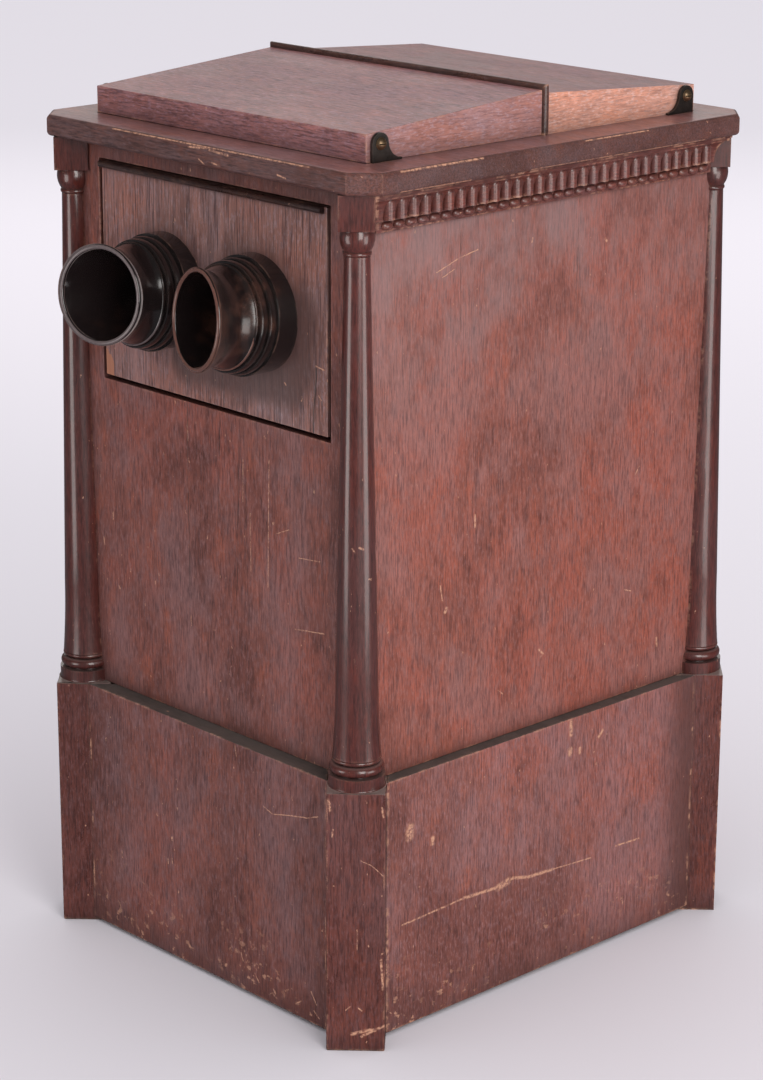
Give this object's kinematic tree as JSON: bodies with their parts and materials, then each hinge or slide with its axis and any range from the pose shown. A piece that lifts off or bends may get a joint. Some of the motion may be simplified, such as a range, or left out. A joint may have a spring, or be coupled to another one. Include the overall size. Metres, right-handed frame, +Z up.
{
  "type": "table-top cabinet stereoscope",
  "caption": "Table-top cabinet stereoscope: wooden case with corner columns, eyecups on a focusing panel, hinged light lids and a hand-turned reel of stereo cards.",
  "frame": {"origin": "on the table under the middle of the outline, eyecups and foot blocks included", "axes": "+Z up, -Y the way the eyecups face, +X to the right of someone who looks into the eyecups, which is the long side that the picture shows"},
  "size_m": [0.2592, 0.3226, 0.4734],
  "materials": {
    "case_mahogany": "satin",
    "top_mahogany": "satin",
    "turned_mahogany": "satin",
    "lid_mahogany": "satin",
    "panel_mahogany": "satin",
    "ebonised_wood": "gloss",
    "inner_wood": "matte",
    "blackened_wood": "matte",
    "dark_bronze": "satin",
    "old_brass": "satin",
    "holder_tin": "satin",
    "lens_glass": "polished",
    "silvered_glass": "polished",
    "belt_tape": "matte",
    "card_mount": "matte"
  },
  "bodies": {
    "cabinet": {"post_front_left": "turned_mahogany", "post_front_right": "turned_mahogany", "post_rear_left": "turned_mahogany", "post_rear_right": "turned_mahogany", "plinth_front": "case_mahogany", "plinth_rear": "case_mahogany", "plinth_left": "case_mahogany", "plinth_right": "case_mahogany", "bottom_board": "inner_wood", "front_board": "case_mahogany", "back_board": "case_mahogany", "left_side_board": "case_mahogany", "right_side_board": "case_mahogany", "top_board": "top_mahogany", "left_cornice": "turned_mahogany", "right_cornice": "turned_mahogany", "front_lid_ears": "dark_bronze", "rear_lid_ears": "dark_bronze", "left_guide": "inner_wood", "right_guide": "inner_wood", "left_bearing": "old_brass", "right_bearing": "old_brass", "card_belt": "belt_tape", "card_holders": "holder_tin", "stereo_cards": "card_mount"},
    "light_lid": {"front_lid": "lid_mahogany", "ridge_strip": "turned_mahogany", "light_mirror": "silvered_glass", "mirror_fillets": "blackened_wood", "front_pivot_screws": "old_brass"},
    "access_lid": {"rear_lid": "lid_mahogany", "rear_pivot_screws": "old_brass"},
    "focus_slide": {"eyepiece_panel": "panel_mahogany", "panel_bead": "turned_mahogany", "focus_runners": "inner_wood", "septum": "blackened_wood", "left_eyecup": "ebonised_wood", "right_eyecup": "ebonised_wood", "left_lens": "lens_glass", "right_lens": "lens_glass", "left_lens_ring": "old_brass", "right_lens_ring": "old_brass"},
    "reel": {"axle": "old_brass", "card_roller": "inner_wood", "turning_knob": "ebonised_wood"}
  },
  "joints": [
    {"name": "light_lid_hinge", "type": "hinge", "parent": "cabinet", "child": "light_lid", "pos_m": [0, -0.09452, 0.4571], "axis": [1, 0, 0], "range_deg": [0, 100]},
    {"name": "access_lid_hinge", "type": "hinge", "parent": "cabinet", "child": "access_lid", "pos_m": [0, 0.12338, 0.4571], "axis": [-1, 0, 0], "range_deg": [0, 100]},
    {"name": "focus_slide_travel", "type": "slide", "parent": "cabinet", "child": "focus_slide", "axis": [0, -1, 0], "range_m": [0, 0.022]},
    {"name": "reel_turn", "type": "hinge", "parent": "cabinet", "child": "reel", "pos_m": [0, 0.01918, 0.30165], "axis": [1, 0, 0], "continuous": true}
  ]
}
